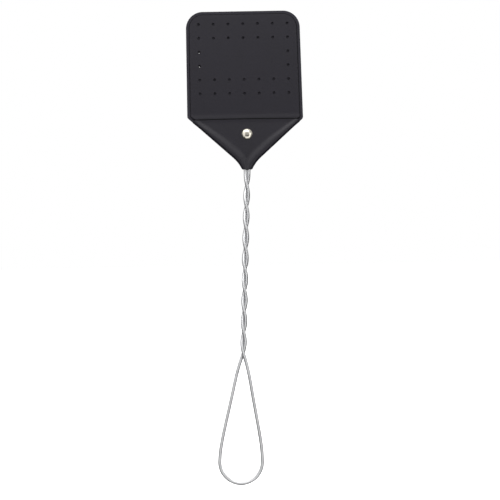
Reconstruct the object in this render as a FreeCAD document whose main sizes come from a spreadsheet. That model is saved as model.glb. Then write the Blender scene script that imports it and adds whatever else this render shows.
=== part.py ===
import FreeCAD, Part
import math
import os

import Sketcher
from FreeCAD import Rotation, Vector

# A leather fly swatter: a perforated blade of two leather sheets, held in a folded leather pocket
# on a handle made from one bent and twisted steel wire. Millimetres and degrees.
# Frame: origin at the centre of the hand loop's round end, +Z up through the blade, front towards -Y.
# Pieces of the head are drawn from the pocket's tip and placed there. The handle leans from that tip.

DIMS = {
    "leather": 1.5,
    "blade_foot_width": 109.8,
    "blade_top_width": 107.6,
    "blade_rise": 102.1,
    "blade_shift": 1.05,
    "blade_lean": 0.5,
    "top_round": 16.0,
    "foot_round": 3.0,
    "front_inset": 2.8,
    "hole_radius": 1.0,
    "column_pitch": 14.0,
    "row_pitch": 13.15,
    "first_row_drop": 12.2,
    "back_row_drop": 14.4,
    "stray_lift": 1.0,
    "pocket_rise": 47.6,
    "mouth_half": 47.6,
    "tip_half": 5.1,
    "slant": 42.0,
    "neck_slant": 64.0,
    "neck_curve": 36.0,
    "inner_half": 1.9,
    "inner_round": 1.8,
    "fold_round": 3.3,
    "lap_half": 8.0,
    "lap_foot": 12.0,
    "bend_gap": 1.2,
    "tail_inset": 6.2,
    "tail_foot": 22.0,
    "rivet_drop": 14.6,
    "rivet_shift": 0.5,
    "rivet_play": 0.05,
    "cap_radius": 5.0,
    "cap_rim": 0.5,
    "cap_dome": 1.3,
    "post_radius": 1.5,
    "stud_radius": 1.0,
    "stud_depth": 1.0,
    "wire_radius": 1.6,
    "strand_gap": 0.1,
    "twist_pitch": 39.7,
    "half_twists": 8.5,
    "lead_in": 5.5,
    "lead_bend": 6.0,
    "arm_inset": 4.0,
    "arm_bend": 16.0,
    "arm_end_drop": 4.0,
    "loop_radius": 20.2,
    "loop_drop": 123.8,
    "handle_lean": 2.2,
}
COLUMNS = 7
ROWS = 6
BLANK_ROWS = (2, 3)  # counted from the top: these two rows have only their end holes
LOOP_SIDE = (  # the hand loop's side: distance below the last crossing, and half width there
    (8.0, 2.55),
    (16.0, 4.75),
    (27.0, 7.2),
    (38.0, 9.3),
    (49.0, 11.5),
    (60.0, 13.75),
    (71.0, 15.95),
    (82.0, 18.0),
    (93.0, 19.6),
)
ARC_STEPS = 20  # along the loop's round end
CLOSE = 0.1  # how near to a level an edge counts as lying on it
SLIVER = 0.01  # shorter than any real edge

doc = FreeCAD.newDocument("fly_swatter")
dims = doc.addObject("Spreadsheet::Sheet", "dims")
for line, (alias, value) in enumerate(DIMS.items(), start=1):
    dims.set(f"A{line}", alias)
    dims.set(f"B{line}", str(value))
    dims.setAlias(f"B{line}", alias)
doc.recompute()

# expressions that several pieces share
SHAFT = "(dims.lead_in + dims.twist_pitch / 2 * dims.half_twists + dims.loop_drop - dims.loop_radius)"
TIP_X = f"{SHAFT} * sin(dims.handle_lean)"
TIP_Z = f"{SHAFT} * cos(dims.handle_lean)"
POCKET_HALF = "(dims.inner_half + dims.leather)"
RIVET_HEIGHT = "(dims.pocket_rise - dims.rivet_drop)"
BLADE_FOOT = "(dims.pocket_rise + dims.bend_gap)"
BLADE_TOP = "(dims.pocket_rise + dims.blade_rise)"


def place(piece, x="0", y="0", z="0"):
    """Places a head piece, offset from the pocket's tip."""
    piece.setExpression("Placement.Base.x", f"{TIP_X} + {x}")
    piece.setExpression("Placement.Base.y", y)
    piece.setExpression("Placement.Base.z", f"{TIP_Z} + {z}")


# ---- outline of the pocket's slanted edge and neck


def neck(inset):
    """Centre, radius, foot and top of the neck's hollow curve, for an edge set in by inset."""
    steep = math.radians(dims.neck_slant)
    shallow = math.radians(dims.slant)
    centre = Vector(
        dims.tip_half + dims.neck_curve * math.sin(steep), 0, -dims.neck_curve * math.cos(steep)
    )
    radius = dims.neck_curve + inset
    foot = Vector(centre.x - math.sqrt(radius**2 - centre.z**2), 0, 0)
    top = centre + Vector(-radius * math.sin(shallow), 0, radius * math.cos(shallow))
    return centre, radius, foot, top


def slant_point(inset, height):
    """Point of the straight slanted edge, set in by inset, at a height above the tip."""
    top = neck(inset)[3]
    return Vector(top.x + (height - top.z) / math.tan(math.radians(dims.slant)), 0, height)


def mirrored(point):
    return Vector(-point.x, point.y, point.z)


def pocket_outline(inset, shoulder, mouth):
    """Face in the XZ plane: tip, hollow neck, slanted edge up to shoulder, then mouth."""
    centre, radius, foot, top = neck(inset)
    half_way = (foot - centre) + (top - centre)
    middle = centre + half_way * (radius / half_way.Length)
    right = [
        Part.Arc(foot, middle, top).toShape(),
        Part.LineSegment(top, shoulder).toShape(),
    ]
    left = [
        Part.LineSegment(mirrored(shoulder), mirrored(top)).toShape(),
        Part.Arc(mirrored(top), mirrored(middle), mirrored(foot)).toShape(),
    ]
    if (mouth - shoulder).Length > SLIVER:
        right.append(Part.LineSegment(shoulder, mouth).toShape())
        left.insert(0, Part.LineSegment(mirrored(mouth), mirrored(shoulder)).toShape())
    across = Part.LineSegment(mouth, mirrored(mouth)).toShape()
    tip = Part.LineSegment(mirrored(foot), foot).toShape()
    return Part.Face(Part.Wire([*right, across, *left, tip]))


# ---- PartDesign helpers


def new_body(name):
    body = doc.addObject("PartDesign::Body", name)
    body.Label = name
    return body


def new_sketch(body, name, role):
    sketch = body.newObject("Sketcher::SketchObject", name)
    plane = next(plane for plane in body.Origin.OriginFeatures if plane.Role == role)
    sketch.AttachmentSupport = [(plane, "")]
    sketch.MapMode = "FlatFace"
    return sketch


def pin_point(sketch, geometry, end, x, y):
    """Ties a sketch point to the sketch's origin. Each of x and y is (value now, expression)."""
    for kind, (value, expression) in (("DistanceX", x), ("DistanceY", y)):
        number = sketch.addConstraint(Sketcher.Constraint(kind, -1, 1, geometry, end, value))
        sketch.setExpression(f"Constraints[{number}]", expression)


def add_polygon(sketch, expressions):
    """Closed outline of straight lines through points given as pairs of expressions."""
    values = [[dims.evalExpression(text) for text in pair] for pair in expressions]
    points = [Vector(float(x), float(y), 0) for x, y in values]
    for index, point in enumerate(points):
        sketch.addGeometry(Part.LineSegment(point, points[(index + 1) % len(points)]), False)
    for index in range(len(points)):
        following = (index + 1) % len(points)
        sketch.addConstraint(Sketcher.Constraint("Coincident", index, 2, following, 1))
    for index, (point, pair) in enumerate(zip(points, expressions)):
        pin_point(sketch, index, 1, (point.x, pair[0]), (point.y, pair[1]))


def add_circle(sketch, radius, x, y):
    """Circle whose radius and centre are expressions."""
    centre = Vector(float(dims.evalExpression(x)), float(dims.evalExpression(y)), 0)
    size = float(dims.evalExpression(radius))
    number = sketch.addGeometry(Part.Circle(centre, Vector(0, 0, 1), size), False)
    bound = sketch.addConstraint(Sketcher.Constraint("Radius", number, size))
    sketch.setExpression(f"Constraints[{bound}]", radius)
    pin_point(sketch, number, 3, (centre.x, x), (centre.y, y))


def extrude(body, kind, sketch, length, reversed_way=False):
    """PartDesign Pad or Pocket of a sketch, checked to have changed the solid."""
    before = body.Shape.Volume if body.Tip else 0
    feature = body.newObject(f"PartDesign::{kind}", f"{sketch.Name}_{kind}")
    feature.Profile = sketch
    feature.setExpression("Length", length)
    feature.Reversed = reversed_way
    doc.recompute()
    if math.isclose(body.Shape.Volume, before):
        raise RuntimeError(f"{feature.Name} changed nothing")
    return feature


def edges_where(shape, test):
    """Names of the edges whose middle point passes a test."""
    return [
        f"Edge{number}"
        for number, edge in enumerate(shape.Edges, start=1)
        if test(edge.valueAt((edge.FirstParameter + edge.LastParameter) / 2))
    ]


def round_edges(body, radius, test, name):
    """PartDesign Fillet of the edges whose middle point passes a test, in the body's own frame."""
    base = body.Tip
    feature = body.newObject("PartDesign::Fillet", name)
    feature.Base = (base, edges_where(base.Shape, test))
    feature.setExpression("Radius", radius)
    doc.recompute()


# ---- blade and its tails


def sway(rise):
    """How far left of the tip the blade's middle lies, at a height above the pocket's mouth."""
    return f"(dims.blade_shift + tan(dims.blade_lean) * {rise})"


def blade_sheet(name, inset, row_drop, to_front):
    """One perforated sheet above the bend line. Each sheet is punched on its own, out of line, and
    two holes of the back one are punched higher than their row, so they nearly meet the front ones."""
    body = new_body(name)
    outline = new_sketch(body, f"{name}_outline", "XZ_Plane")
    foot_half = f"(dims.blade_foot_width / 2 - {inset})"
    top_half = f"(dims.blade_top_width / 2 - {inset})"
    top = f"({BLADE_TOP} - {inset})"
    foot_sway = sway("dims.bend_gap")
    top_sway = sway("dims.blade_rise")
    add_polygon(
        outline,
        [
            (f"-{foot_half} - {foot_sway}", BLADE_FOOT),
            (f"{foot_half} - {foot_sway}", BLADE_FOOT),
            (f"{top_half} - {top_sway}", top),
            (f"-{top_half} - {top_sway}", top),
        ],
    )
    extrude(body, "Pad", outline, "dims.leather", reversed_way=not to_front)
    side = float(dims.evalExpression(top_half)) / 2
    high = float(dims.evalExpression(top)) - CLOSE
    round_edges(
        body,
        f"dims.top_round - {inset}",
        lambda point: abs(point.x) > side and point.z > high,
        f"{name}_top_corners",
    )
    low = float(dims.evalExpression(BLADE_FOOT)) + CLOSE
    round_edges(
        body,
        "dims.foot_round",
        lambda point: abs(point.x) > side and point.z < low,
        f"{name}_foot_corners",
    )
    holes = new_sketch(body, f"{name}_holes", "XZ_Plane")
    for row in range(ROWS):
        for column in range(COLUMNS):
            if row in BLANK_ROWS and 0 < column < COLUMNS - 1:
                continue
            stray = not to_front and column == 0 and row in BLANK_ROWS
            lift = " + dims.stray_lift" if stray else ""
            rise = f"(dims.blade_rise - {row_drop} - dims.row_pitch * {row}{lift})"
            across = f"dims.column_pitch * {column - (COLUMNS - 1) / 2} - {sway(rise)}"
            add_circle(holes, "dims.hole_radius", across, f"dims.pocket_rise + {rise}")
    extrude(body, "Pocket", holes, "dims.leather", reversed_way=to_front)
    place(body)
    return body


def tail(name, to_front):
    """The part of a sheet that is hidden in the pocket, between the wire arms."""
    body = new_body(name)
    outline = new_sketch(body, f"{name}_outline", "XZ_Plane")
    mouth = slant_point(dims.tail_inset, dims.pocket_rise).x
    foot = slant_point(dims.tail_inset, dims.tail_foot).x
    add_polygon(
        outline,
        [
            (f"-{foot:.3f}", "dims.tail_foot"),
            (f"{foot:.3f}", "dims.tail_foot"),
            (f"{mouth:.3f}", "dims.pocket_rise"),
            (f"-{mouth:.3f}", "dims.pocket_rise"),
        ],
    )
    extrude(body, "Pad", outline, "dims.leather", reversed_way=not to_front)
    hole = new_sketch(body, f"{name}_hole", "XZ_Plane")
    add_circle(hole, "dims.post_radius + dims.rivet_play", "dims.rivet_shift", RIVET_HEIGHT)
    extrude(body, "Pocket", hole, "dims.leather", reversed_way=to_front)
    place(body)
    return body


# ---- pocket


def rounded_block(name, outline, half, radius):
    """The outline given a thickness of twice half, with its slanted edges and neck rounded."""
    face = doc.addObject("Part::Feature", f"{name}_outline")
    face.Shape = outline
    block = doc.addObject("Part::Extrusion", f"{name}_block")
    block.Base = face
    block.DirMode = "Custom"
    block.Dir = Vector(0, 1, 0)
    block.setExpression("LengthFwd", f"{half} * 2")
    block.Solid = True
    block.Symmetric = True
    doc.recompute()
    depth = float(dims.evalExpression(half)) - SLIVER
    top = outline.BoundBox.ZMax - SLIVER
    edges = [
        number
        for number, edge in enumerate(block.Shape.Edges, start=1)
        if on_slant(edge, depth, top)
    ]
    rounded = doc.addObject("Part::Fillet", f"{name}_rounded")
    rounded.Base = block
    size = float(dims.evalExpression(radius))
    rounded.Edges = [(number, size, size) for number in edges]
    doc.recompute()
    return rounded


def on_slant(edge, depth, top):
    """True for an edge along a slanted side or the neck, on the front or back face."""
    ends = [vertex.Point for vertex in edge.Vertexes]
    runs_up = abs(ends[0].z - ends[1].z) > CLOSE
    on_face = all(abs(point.y) > depth for point in ends)
    outwards = all((a.x - b.x) * (a.z - b.z) * a.x > 0 for a, b in [ends])
    return runs_up and on_face and outwards and min(point.z for point in ends) < top


def make_pocket():
    """Leather folded round the wire arms, open at the mouth and at the tip."""
    up_slant = Vector(math.cos(math.radians(dims.slant)), 0, math.sin(math.radians(dims.slant)))
    mouth = Vector(dims.mouth_half, 0, dims.pocket_rise)
    top = neck(0)[3]
    shoulder = top + up_slant * (mouth - top).dot(up_slant)
    outer = rounded_block(
        "pocket_skin", pocket_outline(0, shoulder, mouth), POCKET_HALF, "dims.fold_round"
    )
    inner_top = slant_point(dims.leather, dims.pocket_rise + dims.leather)
    inner = rounded_block(
        "pocket_space",
        pocket_outline(dims.leather, inner_top, inner_top),
        "dims.inner_half",
        "dims.inner_round",
    )
    lap = doc.addObject("Part::Box", "pocket_lap")
    lap.setExpression("Length", "dims.lap_half * 2")
    lap.setExpression("Width", "dims.leather")
    lap.setExpression("Height", "dims.pocket_rise - dims.lap_foot")
    lap.setExpression("Placement.Base.x", "-dims.lap_half")
    lap.setExpression("Placement.Base.y", POCKET_HALF)
    lap.setExpression("Placement.Base.z", "dims.lap_foot")
    hole = doc.addObject("Part::Cylinder", "pocket_rivet_hole")
    hole.setExpression("Radius", "dims.post_radius + dims.rivet_play")
    hole.setExpression("Height", f"{POCKET_HALF} * 4")
    hole.Placement.Rotation = Rotation(Vector(1, 0, 0), 90)
    hole.setExpression("Placement.Base.x", "dims.rivet_shift")
    hole.setExpression("Placement.Base.y", f"{POCKET_HALF} * 2")
    hole.setExpression("Placement.Base.z", RIVET_HEIGHT)
    skin = doc.addObject("Part::Fuse", "pocket_skin_and_lap")
    skin.Base = outer
    skin.Tool = lap
    hollow = doc.addObject("Part::Cut", "pocket_hollow")
    hollow.Base = skin
    hollow.Tool = inner
    pocket = doc.addObject("Part::Cut", "pocket_wrap")
    pocket.Base = hollow
    pocket.Tool = hole
    pocket.Label = "pocket_wrap"
    place(pocket)
    return pocket


# ---- rivet


def domed_cap(body):
    """Domed disc on the body's XY plane, domed side up."""
    profile = new_sketch(body, f"{body.Name}_profile", "XZ_Plane")
    rim = dims.cap_radius
    edge = dims.cap_rim
    crown = edge + dims.cap_dome
    dome_radius = (rim**2 + dims.cap_dome**2) / (2 * dims.cap_dome)
    centre = Vector(0, crown - dome_radius, 0)
    sweep = math.asin(rim / dome_radius)
    circle = Part.Circle(centre, Vector(0, 0, 1), dome_radius)
    profile.addGeometry(Part.LineSegment(Vector(0, crown, 0), Vector(0, 0, 0)), False)
    profile.addGeometry(Part.LineSegment(Vector(0, 0, 0), Vector(rim, 0, 0)), False)
    profile.addGeometry(Part.LineSegment(Vector(rim, 0, 0), Vector(rim, edge, 0)), False)
    profile.addGeometry(Part.ArcOfCircle(circle, math.pi / 2 - sweep, math.pi / 2), False)
    for first, second in ((0, 1), (1, 2)):
        profile.addConstraint(Sketcher.Constraint("Coincident", first, 2, second, 1))
    profile.addConstraint(Sketcher.Constraint("Coincident", 2, 2, 3, 1))
    profile.addConstraint(Sketcher.Constraint("Coincident", 3, 2, 0, 1))
    profile.addConstraint(Sketcher.Constraint("PointOnObject", 3, 3, -2))
    pin_point(profile, 0, 1, (0.0, "0"), (crown, "dims.cap_rim + dims.cap_dome"))
    pin_point(profile, 1, 1, (0.0, "0"), (0.0, "0"))
    pin_point(profile, 2, 1, (rim, "dims.cap_radius"), (0.0, "0"))
    pin_point(profile, 2, 2, (rim, "dims.cap_radius"), (edge, "dims.cap_rim"))
    turned = body.newObject("PartDesign::Revolution", f"{body.Name}_dome")
    turned.Profile = profile
    turned.ReferenceAxis = (profile, ["V_Axis"])
    turned.Angle = 360
    doc.recompute()


def make_rivet():
    """Front cap, and back cap with the post. The post's stud fits the front cap's blind bore."""
    stack = f"({POCKET_HALF} * 2 + dims.leather)"
    cap = new_body("rivet_cap")
    domed_cap(cap)
    socket = new_sketch(cap, "rivet_cap_socket", "XY_Plane")
    add_circle(socket, "dims.stud_radius + dims.rivet_play", "0", "0")
    extrude(cap, "Pocket", socket, "dims.stud_depth + dims.rivet_play", reversed_way=True)
    cap.Placement.Rotation = Rotation(Vector(1, 0, 0), 90)
    place(cap, "dims.rivet_shift", f"-{POCKET_HALF}", RIVET_HEIGHT)

    post = new_body("rivet_post")
    domed_cap(post)
    shank = new_sketch(post, "rivet_post_shank", "XY_Plane")
    add_circle(shank, "dims.post_radius", "0", "0")
    extrude(post, "Pad", shank, stack, reversed_way=True)
    stud = new_sketch(post, "rivet_post_stud", "XY_Plane")
    add_circle(stud, "dims.stud_radius", "0", "0")
    extrude(post, "Pad", stud, f"{stack} + dims.stud_depth", reversed_way=True)
    post.Placement.Rotation = Rotation(Vector(1, 0, 0), -90)
    place(post, "dims.rivet_shift", f"{POCKET_HALF} + dims.leather", RIVET_HEIGHT)
    return cap, post


# ---- wire handle, drawn along its own straight shaft: pocket tip at z = 0, shaft down the Z axis


def strand_top(side, helix_top, tangent_up):
    """Edges of one strand from the twist's top to its arm's free end. side is -1 left, 1 right."""
    lean = math.radians(dims.handle_lean)
    twist_angle = math.atan2(abs(tangent_up.y), tangent_up.z)
    way = 1 if tangent_up.y > 0 else -1
    bend = dims.lead_bend
    middle = helix_top + Vector(
        0,
        way * bend * (math.cos(twist_angle / 2) - math.cos(twist_angle)),
        bend * (math.sin(twist_angle) - math.sin(twist_angle / 2)),
    )
    upright = helix_top + Vector(
        0, way * bend * (1 - math.cos(twist_angle)), bend * math.sin(twist_angle)
    )
    lead = Part.Arc(helix_top, middle, upright).toShape()

    # the arm's centre line in the head, turned into the leaning shaft's frame
    def from_head(point):
        return Vector(
            point.x * math.cos(lean) - point.z * math.sin(lean),
            upright.y,
            point.x * math.sin(lean) + point.z * math.cos(lean),
        )

    low = slant_point(dims.arm_inset, 0)
    high = slant_point(dims.arm_inset, dims.pocket_rise - dims.arm_end_drop)
    arm_low = from_head(Vector(side * low.x, 0, low.z))
    arm_end = from_head(Vector(side * high.x, 0, high.z))
    arm_way = (arm_end - arm_low).normalize()
    corner = arm_low + arm_way * ((upright.x - arm_low.x) / arm_way.x)
    turn = math.acos(arm_way.z)
    reach = dims.arm_bend * math.tan(turn / 2)
    start = corner - Vector(0, 0, reach)
    stop = corner + arm_way * reach
    inward = (arm_way - Vector(0, 0, 1)).normalize()
    middle = corner + inward * (dims.arm_bend / math.cos(turn / 2) - dims.arm_bend)
    return [
        lead,
        Part.LineSegment(upright, start).toShape(),
        Part.Arc(start, middle, stop).toShape(),
        Part.LineSegment(stop, arm_end).toShape(),
    ]


def loop_edge(crossing_z, strand_radius):
    """The hand loop as one smooth curve, from the front strand's crossing round to the back one's."""
    depth = dims.loop_drop - dims.loop_radius
    right = []
    for drop, half_width in LOOP_SIDE:
        share = drop / depth
        ease = 1 - share * share * (3 - 2 * share)
        right.append(Vector(half_width, -strand_radius * ease, crossing_z - drop))
    arc = []
    for step in range(ARC_STEPS + 1):
        angle = -math.pi * step / ARC_STEPS
        across, up = dims.loop_radius * math.cos(angle), dims.loop_radius * math.sin(angle)
        arc.append(Vector(across, 0, crossing_z - depth + up))
    left = [Vector(-point.x, -point.y, point.z) for point in reversed(right)]
    slope = math.atan2(2 * math.pi * strand_radius, dims.twist_pitch)
    away = Vector(math.sin(slope), 0, -math.cos(slope))
    back = Vector(math.sin(slope), 0, math.cos(slope))
    ends = [Vector(0, -strand_radius, crossing_z), Vector(0, strand_radius, crossing_z)]
    curve = Part.BSplineCurve()
    curve.interpolate(
        Points=[ends[0], *right, *arc, *left, ends[1]],
        InitialTangent=away,
        FinalTangent=back,
        Scale=True,
    )
    return curve.toShape()


def make_wire():
    strand_radius = dims.wire_radius + dims.strand_gap / 2
    length = dims.twist_pitch / 2 * dims.half_twists
    crossing_z = -dims.lead_in - length
    slope = math.atan2(2 * math.pi * strand_radius, dims.twist_pitch)
    strands = []
    for side in (-1, 1):
        helix = Part.makeHelix(dims.twist_pitch, length, strand_radius, 0, True)
        helix.rotate(Vector(), Vector(0, 0, 1), 90 * side)
        helix.translate(Vector(0, 0, crossing_z))
        top = Vector(side * strand_radius, 0, -dims.lead_in)
        tangent = Vector(0, -side * math.sin(slope), math.cos(slope))
        strands.append([*helix.Edges, *strand_top(side, top, tangent)])
    left, right = strands
    path = doc.addObject("Part::Feature", "wire_path")
    edges = [*reversed(left), loop_edge(crossing_z, strand_radius), *right]
    path.Shape = Part.Wire(Part.__sortEdges__(edges))
    section = doc.addObject("Part::Circle", "wire_section")
    section.setExpression("Radius", "dims.wire_radius")
    first = path.Shape.OrderedEdges[0]
    begin = path.Shape.OrderedVertexes[0].Point
    way = first.tangentAt(first.FirstParameter)
    section.Placement = FreeCAD.Placement(begin, Rotation(Vector(0, 0, 1), way))
    doc.recompute()
    wire = doc.addObject("Part::Sweep", "wire_handle")
    wire.Label = "wire_handle"
    wire.Sections = [section]
    wire.Spine = path
    wire.Solid = True
    wire.Frenet = True
    doc.recompute()
    wire.Placement.Rotation = Rotation(Vector(0, 1, 0), dims.handle_lean)
    place(wire)
    return wire


pieces = [
    blade_sheet("front_sheet", "dims.front_inset", "dims.first_row_drop", to_front=True),
    blade_sheet("back_sheet", "0", "dims.back_row_drop", to_front=False),
    tail("front_sheet_tail", to_front=True),
    tail("back_sheet_tail", to_front=False),
    make_pocket(),
    *make_rivet(),
    make_wire(),
]
doc.recompute()

failed = [item.Name for item in doc.Objects if {"Invalid", "Error"} & set(item.State)]
if failed:
    raise RuntimeError(f"these objects failed: {failed}")
for piece in pieces:
    if piece.Shape.isNull() or not piece.Shape.isValid() or not piece.Shape.Solids:
        raise RuntimeError(f"{piece.Label} has no valid solid")

os.makedirs("parts", exist_ok=True)
for piece in pieces:
    piece.Shape.exportStep(f"parts/{piece.Label}.step")
    box = piece.Shape.BoundBox
    print(f"{piece.Label}: {piece.Shape.Volume:.0f} mm3, z {box.ZMin:.1f} to {box.ZMax:.1f}")
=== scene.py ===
import math

import bmesh
import bpy
from mathutils import Matrix, Vector


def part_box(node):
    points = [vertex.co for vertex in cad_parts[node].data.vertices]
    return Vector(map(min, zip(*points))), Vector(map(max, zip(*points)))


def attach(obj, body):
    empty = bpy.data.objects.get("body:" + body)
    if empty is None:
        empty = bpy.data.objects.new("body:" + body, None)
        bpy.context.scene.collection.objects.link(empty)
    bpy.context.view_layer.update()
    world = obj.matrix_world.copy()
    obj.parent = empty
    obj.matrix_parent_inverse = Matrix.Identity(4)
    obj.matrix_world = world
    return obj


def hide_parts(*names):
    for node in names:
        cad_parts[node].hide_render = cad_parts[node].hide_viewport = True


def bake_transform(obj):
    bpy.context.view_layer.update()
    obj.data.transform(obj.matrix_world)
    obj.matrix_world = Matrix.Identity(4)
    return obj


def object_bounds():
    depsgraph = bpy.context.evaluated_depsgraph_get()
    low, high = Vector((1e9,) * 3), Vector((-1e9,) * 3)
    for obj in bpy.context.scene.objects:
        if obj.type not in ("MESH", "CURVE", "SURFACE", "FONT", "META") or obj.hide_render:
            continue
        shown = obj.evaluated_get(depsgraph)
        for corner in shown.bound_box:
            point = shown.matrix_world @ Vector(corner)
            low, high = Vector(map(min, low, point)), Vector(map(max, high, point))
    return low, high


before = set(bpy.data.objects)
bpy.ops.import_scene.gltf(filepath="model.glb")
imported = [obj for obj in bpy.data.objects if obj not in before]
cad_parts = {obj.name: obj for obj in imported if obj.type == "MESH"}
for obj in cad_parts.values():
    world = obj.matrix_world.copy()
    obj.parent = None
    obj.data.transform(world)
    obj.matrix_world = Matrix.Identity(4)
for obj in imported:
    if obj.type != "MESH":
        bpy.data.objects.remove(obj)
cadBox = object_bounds()
mm = 0.001

# The head is drawn from the pocket's tip: x to the right, z up, the front towards -y.
pocketLow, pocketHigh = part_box("pocket_wrap")
backLow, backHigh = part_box("back_sheet")
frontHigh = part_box("front_sheet")[1]
tip = Vector(((pocketLow.x + pocketHigh.x) / 2, 0, pocketLow.z))
lean = math.atan2(tip.x, tip.z)  # the handle's lean, from the loop's centre to the tip

head = {
    "top": backHigh.z - tip.z,
    "mouth": pocketHigh.z - tip.z,
    "leather": backHigh.y - backLow.y,
    "mouthHalf": 47.6 * mm,  # half the length of the pocket's upper edge
    "tipHalf": 5.0 * mm,
    "slant": math.radians(42),
    "neckSlant": math.radians(64),
    "neckCurve": 36 * mm,
}


def smooth(t):
    t = min(1.0, max(0.0, t))
    return t * t * (3 - 2 * t)


# the head's slanted edge and hollow neck, right half


def neckCentre():
    reach = head["neckCurve"]
    x = head["tipHalf"] + reach * math.sin(head["neckSlant"])
    return Vector((x, 0, -reach * math.cos(head["neckSlant"])))


def slantStart():
    reach = head["neckCurve"]
    return neckCentre() + Vector((-math.sin(head["slant"]), 0, math.cos(head["slant"]))) * reach


slantWay = Vector((math.cos(head["slant"]), 0, math.sin(head["slant"])))
slantOut = Vector((math.sin(head["slant"]), 0, -math.cos(head["slant"])))


# Half width of the head at a height above the tip.
def edgeX(z):
    start = slantStart()
    if z > start.z:
        return start.x + (z - start.z) / math.tan(head["slant"])
    centre = neckCentre()
    return centre.x - math.sqrt(head["neckCurve"] ** 2 - (z - centre.z) ** 2)


# How far a point lies inside the slanted edge or the neck, square to it.
def insideBy(x, z):
    point = Vector((abs(x), 0, z))
    start = slantStart()
    if (point - start).dot(slantWay) > 0:
        return -(point - start).dot(slantOut)
    return (point - neckCentre()).length - head["neckCurve"]


# small tools


# Selects what passes a test, in edit mode.
def pick(obj, test, kind="VERT"):
    bpy.ops.mesh.select_mode(type=kind)
    bpy.ops.mesh.select_all(action="DESELECT")
    shape = bmesh.from_edit_mesh(obj.data)
    parts = {"VERT": shape.verts, "EDGE": shape.edges, "FACE": shape.faces}[kind]
    for part in parts:
        part.select_set(bool(test(part)))
    shape.select_flush_mode()
    bmesh.update_edit_mesh(obj.data)


def edit(obj):
    bpy.ops.object.select_all(action="DESELECT")
    bpy.context.view_layer.objects.active = obj
    obj.select_set(True)
    bpy.ops.object.mode_set(mode="EDIT")


def leave():
    bpy.ops.object.mode_set(mode="OBJECT")


# The object that an operator has just added, at the origin with its place in its mesh.
def added(name):
    obj = bpy.context.object
    obj.name = name
    obj.data.name = name
    bpy.ops.object.transform_apply(location=True, rotation=True, scale=True)
    return obj


# Adds a modifier, sets it and applies it.
def apply(obj, kind, **settings):
    bpy.ops.object.select_all(action="DESELECT")
    bpy.context.view_layer.objects.active = obj
    obj.select_set(True)
    modifier = obj.modifiers.new(kind.title(), kind)
    for key, value in settings.items():
        setattr(modifier, key, value)
    bpy.ops.object.modifier_apply(modifier=modifier.name)


# Bisects the whole mesh by a plane, and can clear away what is beyond it.
def cutAcross(obj, point, normal, clear=False):
    edit(obj)
    bpy.ops.mesh.select_all(action="SELECT")
    bpy.ops.mesh.bisect(plane_co=point, plane_no=normal, clear_outer=clear, threshold=1e-7)
    leave()


def smoothShade(obj, angle):
    bpy.ops.object.select_all(action="DESELECT")
    bpy.context.view_layer.objects.active = obj
    obj.select_set(True)
    bpy.ops.object.shade_smooth_by_angle(angle=math.radians(angle))
    apply(obj, "WEIGHTED_NORMAL", keep_sharp=True, weight=80)


def moveBy(obj, way):
    obj.data.transform(Matrix.Translation(way))


# materials


# An sRGB hex colour as the linear values that shaders take.
def linear(code):
    parts = [int(code[i : i + 2], 16) / 255 for i in (1, 3, 5)]
    return [p / 12.92 if p <= 0.04045 else ((p + 0.055) / 1.055) ** 2.4 for p in parts] + [1.0]


# Adds a shader node. Keys of links are input names or numbers, values are output sockets.
def put(tree, kind, links=None, **settings):
    node = tree.nodes.new(kind)
    for key, value in settings.items():
        if key == "inputs":
            for name, given in value.items():
                node.inputs[name].default_value = given
        else:
            setattr(node, key, value)
    for name, socket in (links or {}).items():
        tree.links.new(socket, node.inputs[name])
    return node


def newMaterial(name, **shader):
    material = bpy.data.materials.new(name)
    material.use_nodes = True
    tree = material.node_tree
    principled = tree.nodes["Principled BSDF"]
    for key, value in shader.items():
        principled.inputs[key].default_value = value
    return material, tree, principled


# Chrome tanned hide with a smooth sprayed black finish: a fine pebbled grain and a satin gloss.
def makeLeather(name, light, dark, gloss, grainMm, roughLow, roughHigh, bump):
    material, tree, principled = newMaterial(name)
    principled.inputs["Specular IOR Level"].default_value = gloss
    where = put(tree, "ShaderNodeTexCoord").outputs["Object"]
    cells = put(tree, "ShaderNodeTexVoronoi", {"Vector": where}, feature="SMOOTH_F1",
                inputs={"Scale": 1 / (grainMm * mm), "Smoothness": 0.6, "Randomness": 1.0})
    pores = put(tree, "ShaderNodeTexNoise", {"Vector": where},
                inputs={"Scale": 1 / (0.35 * grainMm * mm), "Detail": 3.0, "Roughness": 0.6})
    clouds = put(tree, "ShaderNodeTexNoise", {"Vector": where},
                 inputs={"Scale": 1 / (22 * mm), "Detail": 4.0, "Roughness": 0.55})
    mix = put(tree, "ShaderNodeMix", {"Factor": clouds.outputs["Fac"]}, data_type="RGBA",
              inputs={6: linear(dark), 7: linear(light)})
    tree.links.new(mix.outputs[2], principled.inputs["Base Color"])
    rough = put(tree, "ShaderNodeMapRange", {"Value": pores.outputs["Fac"]},
                inputs={"From Min": 0.3, "From Max": 0.7, "To Min": roughLow, "To Max": roughHigh})
    tree.links.new(rough.outputs["Result"], principled.inputs["Roughness"])
    coarse = put(tree, "ShaderNodeBump", {"Height": cells.outputs["Distance"]},
                 inputs={"Strength": bump, "Distance": 0.06 * mm})
    fine = put(tree, "ShaderNodeBump",
               {"Height": pores.outputs["Fac"], "Normal": coarse.outputs["Normal"]},
               inputs={"Strength": bump, "Distance": 0.02 * mm})
    tree.links.new(fine.outputs["Normal"], principled.inputs["Normal"])
    return material


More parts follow.
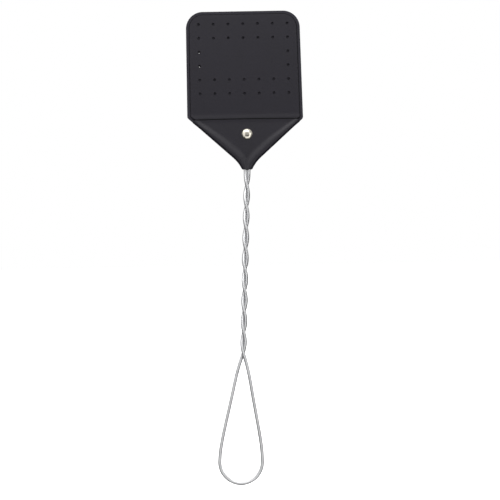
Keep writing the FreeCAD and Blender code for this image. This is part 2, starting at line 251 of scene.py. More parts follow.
# Cut leather edges, dyed and painted black: darker and duller than the face. On the front sheet's wide
# rim and the pocket's mouth band it is also painted shade.
def makeEdgePaintAndShade():
    material, tree, principled = newMaterial("edge_paint_and_painted_shade")
    principled.inputs["Specular IOR Level"].default_value = 0.12
    where = put(tree, "ShaderNodeTexCoord").outputs["Object"]
    fibres = put(tree, "ShaderNodeTexNoise", {"Vector": where},
                 inputs={"Scale": 1 / (0.8 * mm), "Detail": 4.0, "Roughness": 0.6})
    mix = put(tree, "ShaderNodeMix", {"Factor": fibres.outputs["Fac"]}, data_type="RGBA",
              inputs={6: linear("#060607"), 7: linear("#141417")})
    tree.links.new(mix.outputs[2], principled.inputs["Base Color"])
    rough = put(tree, "ShaderNodeMapRange", {"Value": fibres.outputs["Fac"]},
                inputs={"From Min": 0.3, "From Max": 0.7, "To Min": 0.55, "To Max": 0.75})
    tree.links.new(rough.outputs["Result"], principled.inputs["Roughness"])
    bump = put(tree, "ShaderNodeBump", {"Height": fibres.outputs["Fac"]},
               inputs={"Strength": 0.4, "Distance": 0.05 * mm})
    tree.links.new(bump.outputs["Normal"], principled.inputs["Normal"])
    return material


# The dyed flesh side of the hide: a matt short nap with no finish on it, so it has no sheen.
def makeFlesh():
    material, tree, principled = newMaterial("leather_flesh_side_dyed")
    principled.inputs["Specular IOR Level"].default_value = 0.12
    principled.inputs["Roughness"].default_value = 0.9
    where = put(tree, "ShaderNodeTexCoord").outputs["Object"]
    nap = put(tree, "ShaderNodeTexNoise", {"Vector": where},
              inputs={"Scale": 1 / (0.5 * mm), "Detail": 5.0, "Roughness": 0.7})
    mix = put(tree, "ShaderNodeMix", {"Factor": nap.outputs["Fac"]}, data_type="RGBA",
              inputs={6: linear("#323136"), 7: linear("#413F47")})
    tree.links.new(mix.outputs[2], principled.inputs["Base Color"])
    bump = put(tree, "ShaderNodeBump", {"Height": nap.outputs["Fac"]},
               inputs={"Strength": 0.6, "Distance": 0.08 * mm})
    tree.links.new(bump.outputs["Normal"], principled.inputs["Normal"])
    return material


# Drawn low carbon steel wire with a bright zinc plate: pale grey, with lines along it.
# Real lines are too fine to show, so they are drawn coarser.
def makeWireSteel():
    material, tree, principled = newMaterial("steel_wire_zinc_plated", Metallic=1.0)
    where = put(tree, "ShaderNodeTexCoord").outputs["UV"]
    stretched = put(tree, "ShaderNodeMapping", {"Vector": where}, inputs={"Scale": (40.0, 30.0, 1.0)})
    lines = put(tree, "ShaderNodeTexNoise", {"Vector": stretched.outputs["Vector"]},
                inputs={"Scale": 1.0, "Detail": 4.0, "Roughness": 0.6})
    place = put(tree, "ShaderNodeTexCoord").outputs["Object"]
    clouds = put(tree, "ShaderNodeTexNoise", {"Vector": place},
                 inputs={"Scale": 1 / (7 * mm), "Detail": 3.0, "Roughness": 0.5})
    mix = put(tree, "ShaderNodeMix", {"Factor": clouds.outputs["Fac"]}, data_type="RGBA",
              inputs={6: linear("#D2D3D5"), 7: linear("#ECECED")})
    tree.links.new(mix.outputs[2], principled.inputs["Base Color"])
    rough = put(tree, "ShaderNodeMapRange", {"Value": lines.outputs["Fac"]},
                inputs={"From Min": 0.3, "From Max": 0.7, "To Min": 0.24, "To Max": 0.38})
    tree.links.new(rough.outputs["Result"], principled.inputs["Roughness"])
    bump = put(tree, "ShaderNodeBump", {"Height": lines.outputs["Fac"]},
               inputs={"Strength": 0.2, "Distance": 0.01 * mm})
    tree.links.new(bump.outputs["Normal"], principled.inputs["Normal"])
    return material


# Pressed steel rivet with a nickel plate: bright and faintly warm, with light handling marks.
def makeNickel():
    material, tree, principled = newMaterial("rivet_nickel_plated", Metallic=1.0)
    where = put(tree, "ShaderNodeTexCoord").outputs["Object"]
    marks = put(tree, "ShaderNodeTexNoise", {"Vector": where},
                inputs={"Scale": 1 / (0.9 * mm), "Detail": 5.0, "Roughness": 0.65})
    mix = put(tree, "ShaderNodeMix", {"Factor": marks.outputs["Fac"]}, data_type="RGBA",
              inputs={6: linear("#D8D1C0"), 7: linear("#EEEAE0")})
    tree.links.new(mix.outputs[2], principled.inputs["Base Color"])
    rough = put(tree, "ShaderNodeMapRange", {"Value": marks.outputs["Fac"]},
                inputs={"From Min": 0.3, "From Max": 0.7, "To Min": 0.12, "To Max": 0.24})
    tree.links.new(rough.outputs["Result"], principled.inputs["Roughness"])
    return material


bladeLeather = makeLeather("leather_blade_smooth_finish", light="#1A1723", dark="#15121C",
                           gloss=0.36, grainMm=0.8, roughLow=0.42, roughHigh=0.5, bump=0.3)
pocketLeather = makeLeather("leather_pocket_smooth_finish", light="#191622", dark="#14111B",
                            gloss=0.44, grainMm=0.8, roughLow=0.38, roughHigh=0.46, bump=0.3)
edgePaintAndShade = makeEdgePaintAndShade()
flesh = makeFlesh()
wireSteel = makeWireSteel()
nickel = makeNickel()
print("materials made")


# camera, lights and floor

camera = {
    "seen": 474 * mm,  # width of the view at the object
    "lens": 85,
    "roll": math.radians(1.0),
    "aim": Vector((1.32 * mm, 0, -76.78 * mm)),  # from the pocket's tip
    "near": 0.05,
    "far": 50,
}


def makeCamera():
    data = bpy.data.cameras.new("camera")
    data.lens = camera["lens"]
    obj = bpy.data.objects.new("camera", data)
    bpy.context.collection.objects.link(obj)
    distance = camera["seen"] * camera["lens"] / data.sensor_width
    obj.location = tip + camera["aim"] + Vector((0, -distance, 0))
    obj.rotation_euler = (math.radians(90), camera["roll"], 0)
    data.clip_start = camera["near"]
    data.clip_end = camera["far"]
    bpy.context.scene.camera = obj


def makeLight(name, place, size, power, aim):
    data = bpy.data.lights.new(name, "AREA")
    data.shape = "RECTANGLE"
    data.size, data.size_y = size
    data.energy = power
    obj = bpy.data.objects.new(name, data)
    bpy.context.collection.objects.link(obj)
    obj.location = place
    obj.rotation_euler = (Vector(aim) - Vector(place)).to_track_quat("-Z", "Y").to_euler()


studio = {
    "lights": {  # the cards light the rivet's sides and the wire, the rear ones the wire's edges
        "key": {"place": (-0.25, -1.25, 1.4), "size": (2.0, 1.1), "power": 15},
        "cardLeft": {"place": (-1.5, -2.2, 0.1), "size": (1.5, 2.0), "power": 8},
        "cardRight": {"place": (1.5, -2.2, 0.1), "size": (1.5, 2.0), "power": 10},
        "cardLow": {"place": (0.2, -2.0, -1.2), "size": (2.6, 1.3), "power": 11},
        "rear": {"place": (-0.4, 2.0, 1.9), "size": (4.0, 2.6), "power": 26},
        "rearKey": {"place": (0.6, 1.0, 1.9), "size": (0.9, 0.9), "power": 14},
    },
    "aimRise": 60 * mm,  # the lights aim this far above the object's middle
    "skyLow": 0.10,
    "skyHigh": 0.5,
    "skyFrom": -0.16,  # heights between which the surround goes from low to high
    "skyTo": 0.14,
    "floorSize": 30,
    "floorGap": 0.2 * mm,
}


# Softboxes, and a white surround that only the camera sees white: the black leather sees it dim.
def makeStudio():
    middle = (cadBox[0] + cadBox[1]) / 2 + Vector((0, 0, studio["aimRise"]))
    for name, light in studio["lights"].items():
        makeLight(name, light["place"], light["size"], light["power"], middle)
    world = bpy.data.worlds.new("studio")
    world.use_nodes = True
    tree = world.node_tree
    back = tree.nodes["Background"]
    way = put(tree, "ShaderNodeTexCoord").outputs["Generated"]
    parts = put(tree, "ShaderNodeSeparateXYZ", {"Vector": way})
    ramp = put(tree, "ShaderNodeMapRange", {"Value": parts.outputs["Z"]},
               inputs={"From Min": studio["skyFrom"], "From Max": studio["skyTo"],
                       "To Min": studio["skyLow"], "To Max": studio["skyHigh"]})
    seen = put(tree, "ShaderNodeLightPath").outputs["Is Camera Ray"]
    mix = put(tree, "ShaderNodeMix", {"Factor": seen, 2: ramp.outputs["Result"]}, inputs={3: 1.0})
    tree.links.new(mix.outputs[0], back.inputs["Strength"])
    back.inputs["Color"].default_value = (1, 1, 1, 1)
    bpy.context.scene.world = world
    bpy.ops.object.select_all(action="DESELECT")
    under = (0, 0, cadBox[0].z - studio["floorGap"])
    bpy.ops.mesh.primitive_plane_add(size=studio["floorSize"], location=under)
    floor = added("floor")
    material, tree, principled = newMaterial("floor_white")
    principled.inputs["Base Color"].default_value = (0.9, 0.9, 0.9, 1)
    principled.inputs["Roughness"].default_value = 0.9
    principled.inputs["Emission Color"].default_value = (1, 1, 1, 1)
    principled.inputs["Emission Strength"].default_value = 1.0
    floor.data.materials.append(material)
    floor.visible_glossy = False
    floor.visible_diffuse = False
    floor.visible_shadow = False
    bpy.context.scene.view_settings.view_transform = "Standard"


makeCamera()
makeStudio()
print("studio made")


# the two sheets of the blade

sheets = {
    "footHalf": 54.9 * mm,
    "topHalf": 53.8 * mm,
    "shift": 1.05 * mm,  # how far left of the tip the blade's middle starts, at the mouth
    "lean": math.radians(0.5),
    "topRound": 16 * mm,
    "topFaces": 16,
    "cornerRound": 3 * mm,
    "cornerLeast": 2 * mm,
    "cornerFaces": 6,
    "foldGap": 0.15 * mm,  # between the visible outline and the end of the pocket's fold
    "stepIn": 3.4 * mm,  # the outline steps in there, to pass inside the fold
    "stepDown": 3.5 * mm,
    "tailDown": 4 * mm,
    "frontInset": backHigh.x - frontHigh.x,
    "tailInset": 6.3 * mm,
    "tailFoot": 22 * mm,
    "edgeRound": 0.3 * mm,
    # the front sheet's rim is rounded wider, so its black edge paint also makes painted shade of the
    # gap over the back sheet's margin
    "frontRound": 0.55 * mm,
    "faceTilt": 0.99,  # what is tilted more than this is edge
    "columns": 7,
    "rows": 6,
    "columnPitch": 14 * mm,
    "rowPitch": 13.15 * mm,
    "frontDrop": 12.2 * mm,
    "backDrop": 14.4 * mm,
    "holeRadius": 1.0 * mm,
    "holeFlare": 0.3 * mm,
    "waistDeep": 0.4,  # at this share of its depth the flare has only the next share of its width
    "waistWide": 0.3,
    "holeFaces": 20,
    "blankRows": (2, 3),  # only their end holes are punched
    "holesHigh": 100 * mm,  # about the middle of the perforations
    "strayLift": 1.0 * mm,  # two holes at the back sit higher and let a little light through
    "bend": 14 * mm,  # how far above the mouth the blade is still turning
    "bendRow": 1 * mm,  # rows of faces as close as this let the sheet bend smoothly
    "bendStart": 0.5 * mm,  # the turning starts this far below the mouth
    "tailRows": (8 * mm, 16 * mm),
    "mouthRise": 0.35 * mm,  # the front sheet is drawn up to the pocket's mouth
    "riseReach": 5 * mm,
}


# How far left of the tip the blade's middle lies at a height above the tip.
def sway(z):
    return sheets["shift"] + math.tan(sheets["lean"]) * (z - head["mouth"])


# Points that round a corner between two straight sides.
def roundedCorner(before, corner, after, radius, count):
    one = (before - corner).normalized()
    two = (after - corner).normalized()
    half = one.angle(two) / 2
    centre = corner + (one + two).normalized() * (radius / math.sin(half))
    start = corner + one * (radius / math.tan(half)) - centre
    turn = math.pi - 2 * half
    across = (two - start.normalized() * two.dot(start.normalized())).normalized() * radius
    angles = [turn * i / count for i in range(count + 1)]
    return [centre + start * math.cos(a) + across * math.sin(a) for a in angles]


# One side of a sheet's outline, from its top middle to its foot. side is -1 left, 1 right.
def sheetSide(side, inset):
    top = head["top"] - inset
    swayTop, swayFoot = sway(top), sway(head["mouth"])
    topMiddle = Vector((-swayTop, 0, top))
    topCorner = Vector((side * (sheets["topHalf"] - inset) - swayTop, 0, top))
    footX = side * (sheets["footHalf"] - inset) - swayFoot
    start = slantStart()
    shoulder = shoulderPoint()
    edgeWay = Vector((side * slantWay.x, 0, slantWay.z))
    edgeOut = Vector((side * slantOut.x, 0, slantOut.z))
    onEdge = Vector((side * start.x, 0, start.z)) - edgeOut * inset
    footCorner = onEdge + edgeWay * ((footX - onEdge.x) / edgeWay.x)
    under = Vector((side * shoulder.x, 0, shoulder.z)) - edgeOut * inset
    under += edgeWay * sheets["foldGap"]
    inner = under - edgeOut * (sheets["stepIn"] - inset)
    tailTop = Vector((side * shoulder.x, 0, shoulder.z)) - edgeOut * sheets["tailInset"]
    tailTop -= edgeWay * sheets["tailDown"]
    low = Vector((side * start.x, 0, start.z)) - edgeOut * sheets["tailInset"]
    tailFoot = low + edgeWay * ((sheets["tailFoot"] - low.z) / edgeWay.z)
    cornerRound = max(sheets["cornerRound"] - inset, sheets["cornerLeast"])
    topRound = sheets["topRound"] - inset
    points = roundedCorner(topMiddle, topCorner, footCorner, topRound, sheets["topFaces"])
    points += roundedCorner(topCorner, footCorner, under, cornerRound, sheets["cornerFaces"])
    return points + [under, inner, inner - edgeWay * sheets["stepDown"], tailTop, tailFoot]


def sheetOutline(inset):
    return sheetSide(1, inset) + list(reversed(sheetSide(-1, inset)))


# Where the pocket's fold ends on the slanted edge: square across from the end of its mouth.
def shoulderPoint():
    start = slantStart()
    mouth = Vector((head["mouthHalf"], 0, head["mouth"]))
    return start + slantWay * (mouth - start).dot(slantWay)


# All the perforations of one sheet as cutters, each with a flared mouth for the punched rim.
def makePunch(drop):
    size = sheets["holeRadius"]
    flare = sheets["holeFlare"]
    deep = head["leather"]
    past = 0.01 * mm  # the cutter's widest rings lie just past the leather's faces
    slack = past / 2
    outer = deep / 2 + past
    waist = deep / 2 - flare * sheets["waistDeep"]
    inner = deep / 2 - flare
    bpy.ops.object.select_all(action="DESELECT")
    bpy.ops.mesh.primitive_cylinder_add(vertices=sheets["holeFaces"], radius=size, depth=deep * 3,
                                        rotation=(math.radians(90), 0, 0))
    punch = added("punch")
    edit(punch)
    for level in (-outer, -waist, -inner, inner, waist, outer):
        bpy.ops.mesh.select_all(action="SELECT")
        bpy.ops.mesh.bisect(plane_co=(0, level, 0), plane_no=(0, 1, 0))
    for share, low, high in ((1.0, deep / 2, deep * 2), (sheets["waistWide"], waist, waist)):
        factor = 1 + flare * share / size
        pick(punch, lambda v: low - slack < abs(v.co.y) < high + slack)
        bpy.ops.transform.resize(value=(factor, 1, factor))
    leave()
    copies = []
    for row in range(sheets["rows"]):
        for column in range(sheets["columns"]):
            blank = row in sheets["blankRows"]
            if blank and 0 < column < sheets["columns"] - 1:
                continue
            copy = punch.copy()
            copy.data = punch.data.copy()
            bpy.context.collection.objects.link(copy)
            level = head["top"] - drop - row * sheets["rowPitch"]
            if drop == sheets["backDrop"] and column == 0 and blank:
                level += sheets["strayLift"]
            across = (column - (sheets["columns"] - 1) / 2) * sheets["columnPitch"] - sway(level)
            moveBy(copy, (across, 0, level))
            copies.append(copy)
    bpy.ops.object.select_all(action="DESELECT")
    for copy in copies:
        copy.select_set(True)
    bpy.context.view_layer.objects.active = copies[0]
    bpy.ops.object.join()
    bpy.data.objects.remove(punch)
    return bpy.context.object


def dressSheet(obj):
    for skin in (bladeLeather, edgePaintAndShade, flesh):
        obj.data.materials.append(skin)


# A cut leather sheet: outline, thickness, rounded edge, perforations, and rows of faces for its bend.
def makeSheet(name, inset, drop, front, cadNodes):
    outline = sheetOutline(inset)
    thick = head["leather"]
    bpy.ops.object.select_all(action="DESELECT")
    bpy.ops.mesh.primitive_circle_add(vertices=len(outline), radius=1, fill_type="NGON",
                                      rotation=(math.radians(90), 0, 0))
    sheet = added(name)
    ring = sorted(sheet.data.vertices, key=lambda v: v.index)
    for vertex, point in zip(ring, outline):
        vertex.co = point
    edit(sheet)
    bpy.ops.mesh.select_all(action="SELECT")
    bpy.ops.mesh.extrude_region_move(TRANSFORM_OT_translate={"value": (0, thick, 0)})
    bpy.ops.mesh.select_all(action="SELECT")
    bpy.ops.mesh.normals_make_consistent(inside=False)
    pick(sheet, lambda e: abs(e.verts[0].co.y - e.verts[1].co.y) < thick / 2, "EDGE")
    # The front sheet's wider dark rim is partly its edge paint, partly painted shade of the gap between
    # the sheets.
    rounding = sheets["frontRound"] if front else sheets["edgeRound"]
    bpy.ops.mesh.bevel(offset=rounding, segments=3, affect="EDGES")
    leave()
    dressSheet(sheet)
    out = -1 if front else 1
    for face in sheet.data.polygons:
        tilt = face.normal.y * out
        face.material_index = 0 if tilt > sheets["faceTilt"] else 2 if tilt < -sheets["faceTilt"] else 1
    moveBy(sheet, (0, -thick if front else 0, 0))
    punch = makePunch(drop)
    moveBy(punch, (0, -thick / 2 if front else thick / 2, 0))
    dressSheet(punch)
    for face in punch.data.polygons:
        face.material_index = 1
    apply(sheet, "BOOLEAN", object=punch, operation="DIFFERENCE", solver="EXACT")
    bpy.data.objects.remove(punch)
    bendRows = int(sheets["bend"] / sheets["bendRow"])
    rows = [head["mouth"] + sheets["bendRow"] * i for i in range(-1, bendRows + 3)]
    rows += [head["mouth"] - down for down in sheets["tailRows"]]
    rows += [head["top"] - drop - sheets["rowPitch"] * (i + 0.5) for i in range(-1, sheets["rows"])]
    for z in rows:
        cutAcross(sheet, (0, 0, z), (0, 0, 1))
    aside = sheets["columns"] // 2
    for i in range(-aside, aside + 2):
        x = (i - 0.5) * sheets["columnPitch"] - sway(sheets["holesHigh"])
        cutAcross(sheet, (x, 0, 0), (1, 0, 0))
    if front:
        for vertex in sheet.data.vertices:
            away = abs(vertex.co.z - head["mouth"]) / sheets["riseReach"]
            vertex.co.y -= sheets["mouthRise"] * (1 - smooth(away))
    moveBy(sheet, tip)
    smoothShade(sheet, angle=50)
    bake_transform(sheet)
    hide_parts(*cadNodes)


makeSheet("front_leather_sheet", sheets["frontInset"], sheets["frontDrop"], True,
          ("front_sheet", "front_sheet_tail"))
makeSheet("back_leather_sheet", 0.0, sheets["backDrop"], False, ("back_sheet", "back_sheet_tail"))
print("blade sheets made")


# the pocket, one piece of leather folded round the wire arms, its wings lapped on the back

pocket = {
    "leather": head["leather"] - 0.05 * mm,  # a hair thinner than the sheets
    "foldReach": 3.6 * mm,  # how far in from the edge the fold's crest lies
    "narrowing": 0.42,  # the fold gets narrower towards the mouth
    "narrowFrom": 0.5,  # from this share of the height
    "mouthLift": 0.25 * mm,
    "liftReach": 4 * mm,
    "foldPower": 2.3,  # 2 would be a round fold, more is squarer
    "crest": 4.0 * mm,
    "middle": 3.1 * mm,
    "fade": 6.6 * mm,
    "mouthBow": 0.7 * mm,  # the mouth's edge bows up in the middle
    "bowLevel": 0.7,
    "bowFrom": 0.8,  # from this share of the height
    "tipSag": 0.7 * mm,  # the tip's edge hangs down in the middle
    "sagHigh": 6 * mm,
    "grooveDeep": 0.5 * mm,
    "grooveWide": 1.1 * mm,
    "grooveHigh": 17 * mm,
    "grooveOpens": 0.1,  # it gets wider upwards by this share of the height
    "lapRise": 1.55 * mm,
    "lapWide": 8.0 * mm,
    "lapTip": 2 * mm,
    "lapReach": 7 * mm,  # how far across the upper wing comes down again
    "lapClear": 0.9 * mm,
    "across": 28,  # faces from the fold to the middle
    "upward": 48,
    "rim": 0.5 * mm,
    "paintAndShadeRows": 0.6,  # the mouth's edge paint reaches on to the face by this share of a row; partly paint, partly painted shade of the step
}


# Height of the leather's outer face over the middle plane.
def pressHeight(x, z):
    inside = max(0.0, insideBy(x, z))
    share = z / head["mouth"]
    narrowed = smooth((share - pocket["narrowFrom"]) / (1 - pocket["narrowFrom"]))
    reach = pocket["foldReach"] * (1 - pocket["narrowing"] * narrowed)
    fade = pocket["fade"] * (1 - pocket["narrowing"] * narrowed)
    if inside < reach:
        t = 1 - inside / reach
        high = pocket["crest"] * (1 - t ** pocket["foldPower"]) ** (1 / pocket["foldPower"])
    else:
        drop = smooth((inside - reach) / fade)
        high = pocket["crest"] - (pocket["crest"] - pocket["middle"]) * drop
    spread = pocket["grooveWide"] + pocket["grooveOpens"] * z
    fall = 1 - smooth(z / pocket["grooveHigh"])
    lift = pocket["mouthLift"] * smooth((z - head["mouth"]) / pocket["liftReach"] + 1)
    return high + lift - pocket["grooveDeep"] * fall * math.exp(-((x / spread) ** 2))


def lapEdge(z):
    return pocket["lapTip"] + (pocket["lapWide"] - pocket["lapTip"]) * z / head["mouth"]


# How much the upper wing is lifted by the lower wing under it.
def lapLift(x, z):
    wide = min(pocket["lapReach"], edgeX(z) - lapEdge(z) - pocket["lapClear"])
    return pocket["lapRise"] * smooth((x + lapEdge(z) + wide) / wide)


# Points round the folded leather at one height: lower wing, front, upper wing.
def pocketSection(z):
    count = pocket["across"]
    half = edgeX(z)
    shares = [(i / count) ** 2 for i in range(count + 1)]  # closer together round the fold
    fromEdge = [half * (1 - s) for s in shares]
    points = []
    lapStart = lapEdge(z)
    lower = [-lapStart + (half + lapStart) * (1 - s) for s in reversed(shares)]
    for x in lower:
        points.append(Vector((x, pressHeight(x, z), z)))
    for x in fromEdge[1:]:
        points.append(Vector((x, -pressHeight(x, z), z)))
    for x in [-x for x in reversed(fromEdge[:-1])]:
        points.append(Vector((x, -pressHeight(x, z), z)))
    upper = [lapStart - (half + lapStart) * (1 - s) for s in shares][1:]
    for x in upper:
        points.append(Vector((x, pressHeight(x, z) + lapLift(x, z), z)))
    return points


def makePocket():
    columns = len(pocketSection(head["mouth"]))
    rows = pocket["upward"] + 1
    bpy.ops.object.select_all(action="DESELECT")
    bpy.ops.mesh.primitive_grid_add(x_subdivisions=columns - 1, y_subdivisions=rows - 1, size=2)
    wrap = added("folded_pocket_leather")
    ordered = sorted(wrap.data.vertices, key=lambda v: (round(v.co.y, 5), round(v.co.x, 5)))
    for row in range(rows):
        share = row / (rows - 1)
        z = head["mouth"] * share
        section = pocketSection(z)
        for column, point in enumerate(section):
            middle = 1 - (point.x / edgeX(z)) ** 2
            sag = pocket["tipSag"] * middle * (1 - smooth(z / pocket["sagHigh"]))
            nearMouth = smooth((share - pocket["bowFrom"]) / (1 - pocket["bowFrom"]))
            bow = pocket["mouthBow"] * (middle - pocket["bowLevel"]) * nearMouth
            ordered[row * columns + column].co = point + Vector((0, 0, bow - sag))
    edit(wrap)
    bpy.ops.mesh.select_all(action="SELECT")
    bpy.ops.mesh.normals_make_consistent(inside=False)
    leave()
    shape = bmesh.new()
    shape.from_mesh(wrap.data)
    outward = sum(f.normal.y * f.calc_center_median().y * f.calc_area() for f in shape.faces)
    shape.free()
    if outward < 0:
        edit(wrap)
        bpy.ops.mesh.select_all(action="SELECT")
        bpy.ops.mesh.flip_normals()
        leave()
    shoulder = shoulderPoint()
    cutAcross(wrap, shoulder, slantWay, clear=True)
    cutAcross(wrap, (-shoulder.x, 0, shoulder.z), (-slantWay.x, 0, slantWay.z), clear=True)
    wrap.data.materials.append(pocketLeather)
    wrap.data.materials.append(edgePaintAndShade)
    rowHigh = head["mouth"] / (rows - 1)
    # The top faces of the front take the black edge material: a dark band along the mouth, partly the
    # edge paint, partly painted shade of the step onto the front sheet.
    for face in wrap.data.polygons:
        top = max(wrap.data.vertices[v].co.z for v in face.vertices)
        if top > head["mouth"] - pocket["paintAndShadeRows"] * rowHigh and face.center.y < 0:
            face.material_index = 1
    apply(wrap, "SOLIDIFY", thickness=pocket["leather"], offset=-1, use_even_offset=True,
          material_offset_rim=1)
    apply(wrap, "BEVEL", width=pocket["rim"], segments=4, limit_method="ANGLE",
          angle_limit=math.radians(55), material=1)
    moveBy(wrap, tip)
    smoothShade(wrap, angle=50)
    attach(wrap, "handle")
    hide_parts("pocket_wrap")


makePocket()
print("pocket made")


# the wire handle

wire = {
    "radius": 1.6 * mm,
    "strandRadius": 1.63 * mm,  # from the shaft's middle to each strand's
    "halfPitch": 19.85 * mm,
    "leadIn": 5.5 * mm,
    "leadSoft": 3.0 * mm,
    "halfTwists": 8.5,
    "loopRadius": 20.2 * mm,
    "loopDrop": 103.6 * mm,  # from the last crossing to the middle of the loop's round end
    "loopSide": (  # drop and half width in mm
        (0, 0), (8, 2.55), (16, 4.75), (27, 7.2), (38, 9.3), (49, 11.5),
        (60, 13.75), (71, 15.95), (82, 18.0), (93, 19.6), (103.6, 20.2),
    ),
    "armInset": 4.0 * mm,
    "armBend": 16 * mm,
    "armEnd": 44 * mm,
    "bendSteps": 14,
    "armStep": 4 * mm,
    "step": 1.5 * mm,
    "loopStep": 2.5 * mm,
    "endSteps": 48,
    "around": 20,
}


# Turn of the pair at a distance below the tip: nothing at first, then a steady twist.
def twistAngle(down):
    past = down - wire["leadIn"]
    return math.pi / wire["halfPitch"] * (math.hypot(past, wire["leadSoft"]) + past) / 2


# Turns a point of the leaning shaft's own frame into the head's.
def shaftFrame(point):
    return Vector((point.x * math.cos(lean) + point.z * math.sin(lean), point.y,
                   -point.x * math.sin(lean) + point.z * math.cos(lean)))


# The wire's end in the head: out of the shaft, round and up inside the slanted fold to its tip.
def armPoints(side):
    outerStart = slantStart() - slantOut * wire["armInset"]
    way = Vector((side * slantWay.x, 0, slantWay.z))
    low = Vector((side * outerStart.x, 0, outerStart.z))
    end = low + way * ((wire["armEnd"] - low.z) / way.z)
    up = Vector((math.sin(lean), 0, math.cos(lean)))
    across = Vector((math.cos(lean), 0, -math.sin(lean)))
    base = across * side * wire["strandRadius"]
    # the corner where the arm's line meets the strand's line
    gap = low - base
    cross = up.x * way.z - up.z * way.x
    corner = base + up * ((gap.x * way.z - gap.z * way.x) / cross)
    turn = up.angle(way)
    reach = wire["armBend"] * math.tan(turn / 2)
    start, stop = corner - up * reach, corner + way * reach
    centre = start + (way - up * way.dot(up)).normalized() * wire["armBend"]
    points = []
    for i in range(wire["bendSteps"] + 1):
        a = turn * i / wire["bendSteps"]
        out = (start - centre).normalized()
        points.append(centre + (out * math.cos(a) + up * math.sin(a)) * wire["armBend"])
    straight = int((end - stop).length / wire["armStep"])
    points += [stop.lerp(end, i / straight) for i in range(1, straight + 1)]
    return start, points


# From the arm's free end down the twist to the crossing above the loop.
def strandPoints(side):
    start, arm = armPoints(side)
    length = wire["leadIn"] + wire["halfPitch"] * wire["halfTwists"]
    up = Vector((math.sin(lean), 0, math.cos(lean)))
    points = list(reversed(arm))
    first = -start.dot(up) + wire["step"]
    count = int((length - first) / wire["step"])
    for i in range(count + 1):
        down = first + (length - first) * i / count
        angle = twistAngle(max(0.0, down))
        local = Vector((side * wire["strandRadius"] * math.cos(angle),
                        side * wire["strandRadius"] * math.sin(angle), -down))
        points.append(shaftFrame(local))
    return points


# Reads a table of pairs at a value, on smooth cubic curves between its points.
def curved(table, at):
    for i in range(len(table) - 1):
        if at <= table[i + 1][0]:
            break
    (x0, y0), (x1, y1) = table[i], table[i + 1]
    before = table[i - 1] if i else (2 * x0 - x1, 2 * y0 - y1)
    turnBack = 0.1  # past its end the table turns back by this share of its last rise
    past = (2 * x1 - x0, y1 - (y1 - y0) * turnBack)
    after = table[i + 2] if i + 2 < len(table) else past
    wide = x1 - x0
    slope0 = (y1 - before[1]) / (x1 - before[0]) * wide
    slope1 = (after[1] - y0) / (after[0] - x0) * wide
    t = (at - x0) / wide
    return (y0 * (1 + 2 * t) * (1 - t) ** 2 + slope0 * t * (1 - t) ** 2
            + y1 * t * t * (3 - 2 * t) + slope1 * t * t * (t - 1))


# The hand loop from the front strand's crossing to the back strand's.
def loopPoints():
    crossing = -(wire["leadIn"] + wire["halfPitch"] * wire["halfTwists"])
    depth = wire["loopDrop"]
    radius = wire["loopRadius"]
    count = int(depth / wire["loopStep"])
    right = []
    for i in range(1, count):
        drop = depth * i / count
        out = wire["strandRadius"] * (1 - smooth(i / count))
        right.append(Vector((curved(wire["loopSide"], drop / mm) * mm, -out, crossing - drop)))
    bottom = []
    for i in range(wire["endSteps"] + 1):
        a = -math.pi * i / wire["endSteps"]
        bottom.append(Vector((radius * math.cos(a), 0, crossing - depth + radius * math.sin(a))))
    left = [Vector((-p.x, -p.y, p.z)) for p in reversed(right)]
    return [shaftFrame(p) for p in right + bottom + left]


def makeWire():
    points = strandPoints(-1) + loopPoints() + list(reversed(strandPoints(1)))
    bpy.ops.object.select_all(action="DESELECT")
    bpy.ops.curve.primitive_nurbs_path_add()
    bent = bpy.context.object
    spline = bent.data.splines[0]
    spline.points.add(len(points) - len(spline.points))
    for place, point in zip(spline.points, points):
        place.co = (*(tip + point), 1)
    spline.order_u = 4
    spline.use_endpoint_u = True
    spline.resolution_u = 1
    bent.data.bevel_depth = wire["radius"]
    bent.data.bevel_resolution = wire["around"] // 2 - 2  # gives that many sides
    bent.data.use_fill_caps = True
    bent.data.materials.append(wireSteel)
    bpy.ops.object.convert(target="MESH")
    bent = added("wire_handle_twisted")
    edit(bent)
    bpy.ops.mesh.select_all(action="SELECT")
    bpy.ops.mesh.remove_doubles(threshold=1e-6)
    bpy.ops.mesh.normals_make_consistent(inside=False)
    leave()
    smoothShade(bent, angle=40)
    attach(bent, "handle")
    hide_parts("wire_handle")


makeWire()
print("wire made")


# the double cap rivet

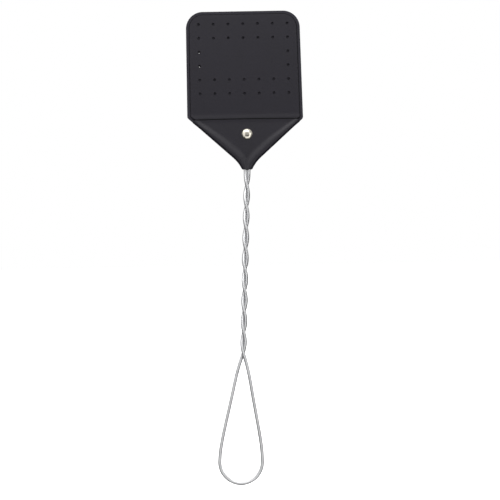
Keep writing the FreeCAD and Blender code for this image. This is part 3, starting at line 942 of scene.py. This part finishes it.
rivet = {
    "radius": 5.0 * mm,
    "dome": 1.25 * mm,
    "flatness": 2.8,  # 2 would be a plain dome, more is flatter in the middle
    "rimRadius": 0.32 * mm,
    "rimSteps": 6,
    "rimTurn": 150,  # degrees that the rim is rolled through
    "rings": 12,
    "around": 64,
    "sunk": 0.1 * mm,  # how far it is pressed into the leather
}


# A domed disc with a rolled rim, seated on the leather.
def makeCap(name, node, seat, front):
    bpy.ops.object.select_all(action="DESELECT")
    rim = rivet["rimRadius"]
    now = rivet["radius"] - rim
    bpy.ops.mesh.primitive_circle_add(vertices=rivet["around"], radius=now, fill_type="NOTHING")
    cap = added(name)
    edit(cap)
    bpy.ops.mesh.select_all(action="SELECT")
    level = 0.0
    steps = []
    for i in range(1, rivet["rimSteps"] + 1):
        a = math.radians(-90 + rivet["rimTurn"] * i / rivet["rimSteps"])
        steps.append((rivet["radius"] - rim + rim * math.cos(a), rim + rim * math.sin(a)))
    edge, edgeHigh = steps[-1]
    for i in range(1, rivet["rings"]):
        far = edge * (1 - i / rivet["rings"])
        steps.append((far, edgeHigh + rivet["dome"] * (1 - (far / edge) ** rivet["flatness"])))
    for far, high in steps:
        bpy.ops.mesh.extrude_edges_move(TRANSFORM_OT_translate={"value": (0, 0, high - level)})
        bpy.ops.transform.resize(value=(far / now, far / now, 1), center_override=(0, 0, 0))
        now, level = far, high
    crown = edgeHigh + rivet["dome"]
    bpy.ops.mesh.extrude_edges_move(TRANSFORM_OT_translate={"value": (0, 0, crown - level)})
    bpy.ops.mesh.merge(type="CENTER")
    pick(cap, lambda v: v.is_boundary)
    bpy.ops.mesh.edge_face_add()
    bpy.ops.mesh.select_all(action="SELECT")
    bpy.ops.mesh.normals_make_consistent(inside=False)
    leave()
    cap.data.materials.append(nickel)
    turn = Matrix.Rotation(math.radians(90 if front else -90), 4, "X")
    cap.data.transform(turn)
    low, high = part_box(node)
    moveBy(cap, ((low.x + high.x) / 2, seat, (low.z + high.z) / 2))
    smoothShade(cap, angle=60)
    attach(cap, "handle")
    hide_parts(node)


frontSeat = -pocket["middle"] + rivet["sunk"]
backSeat = pocket["middle"] + pocket["lapRise"] - rivet["sunk"]
makeCap("rivet_front_cap", "rivet_cap", frontSeat, True)
makeCap("rivet_back_cap", "rivet_post", backSeat, False)
print("rivet made")
